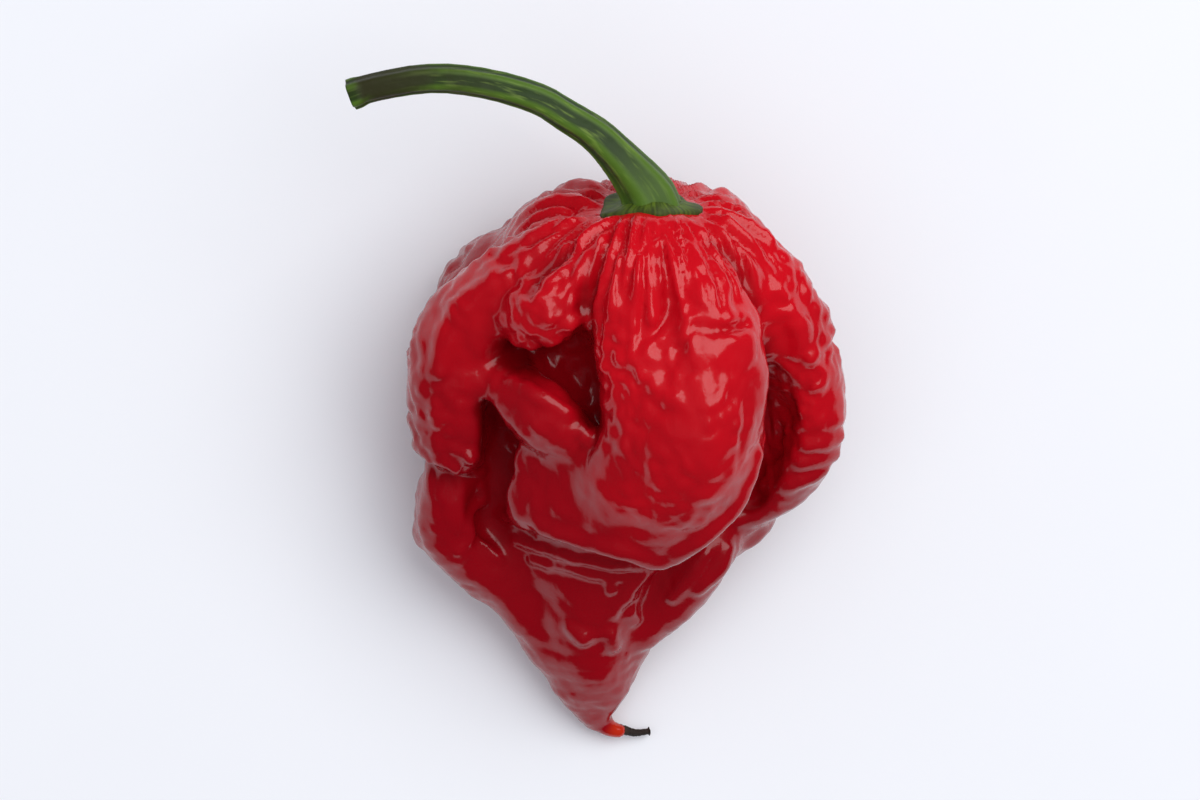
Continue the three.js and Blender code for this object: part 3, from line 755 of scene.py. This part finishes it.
# %% A tree that grows a stalk
STEM_PATH = [(4.0, 17.2, 23.1), (3.7, 18.7, 23.4), (2.4, 20.5, 23.8), (0.8, 22.3, 24.1), (-1, 24, 24.3),
             (-3.4, 25.5, 24.6), (-6, 27, 24.8), (-10.6, 28.3, 24.8), (-15.1, 28.7, 24.4),
             (-19.6, 28, 23.6), (-21.8, 27.3, 23)]
STYLE_PATH = [(3.2, -29.35, 1.5), (4.1, -29.45, 1.4), (5.1, -29.7, 1.1), (6.4, -29.6, 0.9)]


def stalk_tree():
    tree = Growth("stalk", Base_Radius=0.0028, Middle_Radius=0.00135, Tip_Radius=0.00115, Flare_Power=7.0,
                  Ribs=6.0, Rib_Depth=0.07, Twist=1.6, Knob=0.12, Roughness_Depth=0.06)
    rod = tree.node("GeometryNodeMeshCylinder", {"fill_type": "TRIANGLE_FAN"}, Vertices=60,
                    Side_Segments=200, Fill_Segments=5, Radius=1.0, Depth=1.0)
    place = tree.node("GeometryNodeInputPosition")
    parts = tree.node("ShaderNodeSeparateXYZ", None, place)
    share = parts.other("Z") + 0.5
    turn = parts.other("Y").math("ARCTAN2", parts)
    cosine, sine = turn.math("COSINE"), turn.math("SINE")
    inwards = (parts * parts + parts.other("Y") * parts.other("Y")).math("SQRT")
    spine = tree.node("GeometryNodeSampleCurve", {"mode": "FACTOR"}, Curves=tree.given("Geometry"),
                      Factor=share, output="Position")
    side = spine.other("Normal")
    other_side = spine.other("Tangent").vector("CROSS_PRODUCT", side)

    middle = tree.given("Middle_Radius")
    flare = (1.0 - share) ** tree.given("Flare_Power") * (tree.given("Base_Radius") - middle)
    plain = middle + share * (tree.given("Tip_Radius") - middle)
    knob = 1.0 + tree.given("Knob") * share.rising(0.955, 0.985)
    uneven = 0.9 * (turn * 2.0).math("SINE")
    ribs = (turn * tree.given("Ribs") + share * tree.given("Twist") + uneven).math("SINE")
    rings = tree.node("ShaderNodeCombineXYZ", None, cosine, sine, share * 14.0)
    rough = tree.noise(rings, 1.6, detail=3.0) - 0.5
    relief = 1.0 + ribs * tree.given("Rib_Depth") + rough * tree.given("Roughness_Depth")
    reach = (plain + flare) * knob * relief * inwards
    offset = side.vector("SCALE", reach * cosine).vector("ADD", other_side.vector("SCALE", reach * sine))
    marked = rod
    for name, value in (("along", share), ("ribs", ribs), ("inwards", inwards), ("cosine", cosine),
                        ("sine", sine)):
        marked = tree.node("GeometryNodeStoreNamedAttribute", {"data_type": "FLOAT", "domain": "POINT"},
                           Geometry=marked, Name=name, Value=value)
    bent = tree.node("GeometryNodeSetPosition", None, Geometry=marked,
                     Position=spine.vector("ADD", offset))
    smooth = tree.node("GeometryNodeSetShadeSmooth", None, bent)
    return tree.finish(smooth)


def new_path(name, points):
    """A curve object through the points, smoothed as the pod's lobes are."""
    curve = bpy.data.curves.new(name, "CURVE")
    curve.dimensions = "3D"
    points = smoothed([(*point, 0) for point in points])[:, :3] * MM
    spline = curve.splines.new("POLY")
    spline.points.add(len(points) - 1)
    for target, point in zip(spline.points, points):
        target.co = (*point, 1)
    path = bpy.data.objects.new(name, curve)
    bpy.context.scene.collection.objects.link(path)
    return path


def grow_stalk(name, points, **inputs):
    """A stalk as a plain mesh object of its own, grown along the points."""
    path = new_path(name + "_path", points)
    piece = bpy.data.objects.new(name, grown(path, stalk, **inputs))
    bpy.data.objects.remove(path)
    bpy.context.scene.collection.objects.link(piece)
    return piece


stalk = stalk_tree()
print("stalk tree: %d nodes" % len(stalk.nodes))

# %% [markdown]
# ## Finishes of the stalks
#
# A fresh stem is deep green, paler on its ribs and near the calyx, and it darkens and browns towards the
# cut, where the pale pith shows. The style has long dried: it is almost black.

# %% Green stem, dry style
LEAF_GREEN = (0.075, 0.15, 0.012)
DEEP_GREEN = (0.020, 0.045, 0.005)
PALE_GREEN = (0.22, 0.33, 0.05)
BARK_BROWN = (0.030, 0.030, 0.008)
PITH = (0.50, 0.52, 0.22)
DRY_BROWN = (0.022, 0.010, 0.006)
DRY_TAN = (0.10, 0.045, 0.02)


def green_stem():
    paint = Paint("green_stem", IOR=1.35)
    along = paint.attribute("along")
    ribs = paint.attribute("ribs")
    place = paint.place()
    color = paint.mix(ribs.rising(-0.5, 0.8), DEEP_GREEN, LEAF_GREEN)
    lengthwise = paint.node("ShaderNodeCombineXYZ", None, paint.attribute("cosine"),
                            paint.attribute("sine"), along * 3.0)
    streaks = paint.noise(lengthwise, 4.0, detail=3)
    color = paint.mix(0.5 * streaks.rising(0.5, 0.75), color, PALE_GREEN)
    color = paint.mix(0.6 * (1.0 - along.rising(0.02, 0.25)), color, LEAF_GREEN)
    blotches = paint.noise(place, 260.0, detail=3)
    color = paint.mix(along.rising(0.45, 0.95) * blotches.rising(0.38, 0.62), color, BARK_BROWN)
    cut_face = along.rising(0.994, 0.999) * (1.0 - paint.attribute("inwards").rising(0.75, 0.95))
    color = paint.mix(cut_face, color, PITH)
    fine = paint.noise(place, 1800.0, detail=2)
    return paint.set(Base_Color=color, Roughness=0.40 + 0.2 * streaks,
                     Normal=paint.bump(fine, 0.00006, 0.5))


def dry_style():
    paint = Paint("dry_style")
    along = paint.attribute("along")
    grain = paint.noise(paint.place(), 1500.0, detail=3)
    color = paint.mix((1.0 - along.rising(0.1, 0.4)) * grain, DRY_BROWN, DRY_TAN)
    return paint.set(Base_Color=color, Roughness=0.6 + 0.2 * grain,
                     Normal=paint.bump(grain, 0.00008, 0.6))


stem = grow_stalk("stem_stalk", STEM_PATH, Finish=green_stem())
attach(stem, "root")
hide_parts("stem")
style = grow_stalk("style_stalk", STYLE_PATH, Base_Radius=0.00055, Middle_Radius=0.00034,
                   Tip_Radius=0.00024, Flare_Power=3.0, Ribs=4.0, Rib_Depth=0.12, Knob=0.5,
                   Roughness_Depth=0.5, Finish=dry_style())
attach(style, "root")
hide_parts("style_tip")
print("stalks: %d and %d faces" % (len(stem.data.polygons), len(style.data.polygons)))

# %% [markdown]
# ## The calyx
#
# The calyx is a thin green collar that hugs the pod, with a wavy edge of five blunt teeth and a faint ring
# round the stem's foot. It has to lie on a lobed skin, so its points are let fall on the pod's field along
# the seat's axis, and its thickness is added after that: thickest in the middle, thin at the edge.

# %% The collar
CALYX_ROUND = 120  # points round the collar
CALYX_RINGS = 22
CALYX_WIDTH = 4.35
CALYX_NARROWING = 0.45  # how much less it reaches up and down
TOOTH = 0.08  # share of the width
CALYX_LIFT = 0.20  # how far the edge's upper side stands off the pod
CALYX_DOME = 0.45  # how much more the middle does
FALL_START = 6  # how far in front of the seat the points start to fall


def calyx_edge(turn):
    """Reach of the collar at an angle: wider sideways than up and down, with five teeth."""
    width = CALYX_WIDTH - CALYX_NARROWING * math.sin(turn) ** 2
    return width * (1 + TOOTH * math.cos(5 * turn + 0.9) + 0.012 * math.sin(11 * turn))


def add_calyx():
    facing, right, up = (np.array(v) for v in (SEAT_FACING, SEAT_RIGHT, SEAT_UP))
    shares = np.linspace(0, 1, CALYX_RINGS)
    start = np.array(SEAT) + FALL_START * facing
    places = []
    for share in shares:
        for step in range(CALYX_ROUND):
            turn = 2 * math.pi * step / CALYX_ROUND
            outwards = math.cos(turn) * right + math.sin(turn) * up
            places.append(start + calyx_edge(turn) * share * outwards)
    places = np.array(places, np.float32)
    for _ in range(DROP_STEPS):
        places -= FALL * np.maximum(pod_distance(places), 0)[:, None] * facing
    share = np.repeat(shares, CALYX_ROUND)
    turn = np.tile(2 * np.pi * np.arange(CALYX_ROUND) / CALYX_ROUND, CALYX_RINGS)
    lift = CALYX_DOME * (1 - share) ** 0.5 + CALYX_LIFT + 0.04 * np.sin(7 * turn) * share
    ring = 0.12 * np.exp(-((share - 0.62) / 0.07) ** 2)
    top = places + (lift + ring)[:, None] * facing
    bottom = places - (0.7 - 0.35 * share)[:, None] * facing
    vertices = np.concatenate([top, bottom]) * MM
    quads = []
    for i in range(CALYX_RINGS - 1):
        for j in range(CALYX_ROUND):
            a, b = i * CALYX_ROUND + j, i * CALYX_ROUND + (j + 1) % CALYX_ROUND
            quads.append((a, a + CALYX_ROUND, b + CALYX_ROUND, b))
    under = [tuple(v + len(top) for v in reversed(quad)) for quad in quads]
    edge = (CALYX_RINGS - 1) * CALYX_ROUND
    rim = []
    for j in range(CALYX_ROUND):
        a, b = edge + j, edge + (j + 1) % CALYX_ROUND
        rim.append((a, a + len(top), b + len(top), b))
    calyx = new_piece("calyx_collar", vertices, np.array(quads + under + rim))
    mesh = bmesh.new()
    mesh.from_mesh(calyx.data)
    bmesh.ops.remove_doubles(mesh, verts=mesh.verts, dist=0.00001)
    bmesh.ops.recalc_face_normals(mesh, faces=mesh.faces)
    mesh.to_mesh(calyx.data)
    mesh.free()
    return calyx


calyx = add_calyx()
print("calyx: %d faces" % len(calyx.data.polygons))

# %% [markdown]
# ## Finish of the calyx
#
# The collar is a duller, more yellow green than the stem, with faint veins that run outwards, and its edge
# has begun to brown. The veins follow the angle and the distance from the seat, like the pleats of the pod.

# %% Green calyx
CALYX_DARK = (0.045, 0.075, 0.005)
CALYX_GREEN = (0.11, 0.17, 0.012)
BROWNED_EDGE = (0.0030, 0.0042)  # distance from the seat over which the browning sets in


def green_calyx():
    paint = Paint("green_calyx", IOR=1.38)
    place = paint.place()
    _, right, up = seen_from_seat(place)
    away = (right * right + up * up).math("SQRT")
    fan = paint.node("ShaderNodeCombineXYZ", None, up.math("ARCTAN2", right) * 3.0, away * 120.0, 0.0)
    veins = paint.noise(fan, 4.0, detail=2)
    color = paint.mix(veins.rising(0.35, 0.65), CALYX_DARK, CALYX_GREEN)
    blotches = paint.noise(place, 900.0, detail=2)
    color = paint.mix(away.rising(*BROWNED_EDGE) * (0.35 + 0.5 * blotches), color, BARK_BROWN)
    return paint.set(Base_Color=color, Roughness=0.55 + 0.15 * veins,
                     Normal=paint.bump(veins, 0.00008, 0.5))


calyx.data.materials.append(green_calyx())
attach(calyx, "root")
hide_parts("calyx")
print("calyx finish:", calyx.data.materials[0].name)
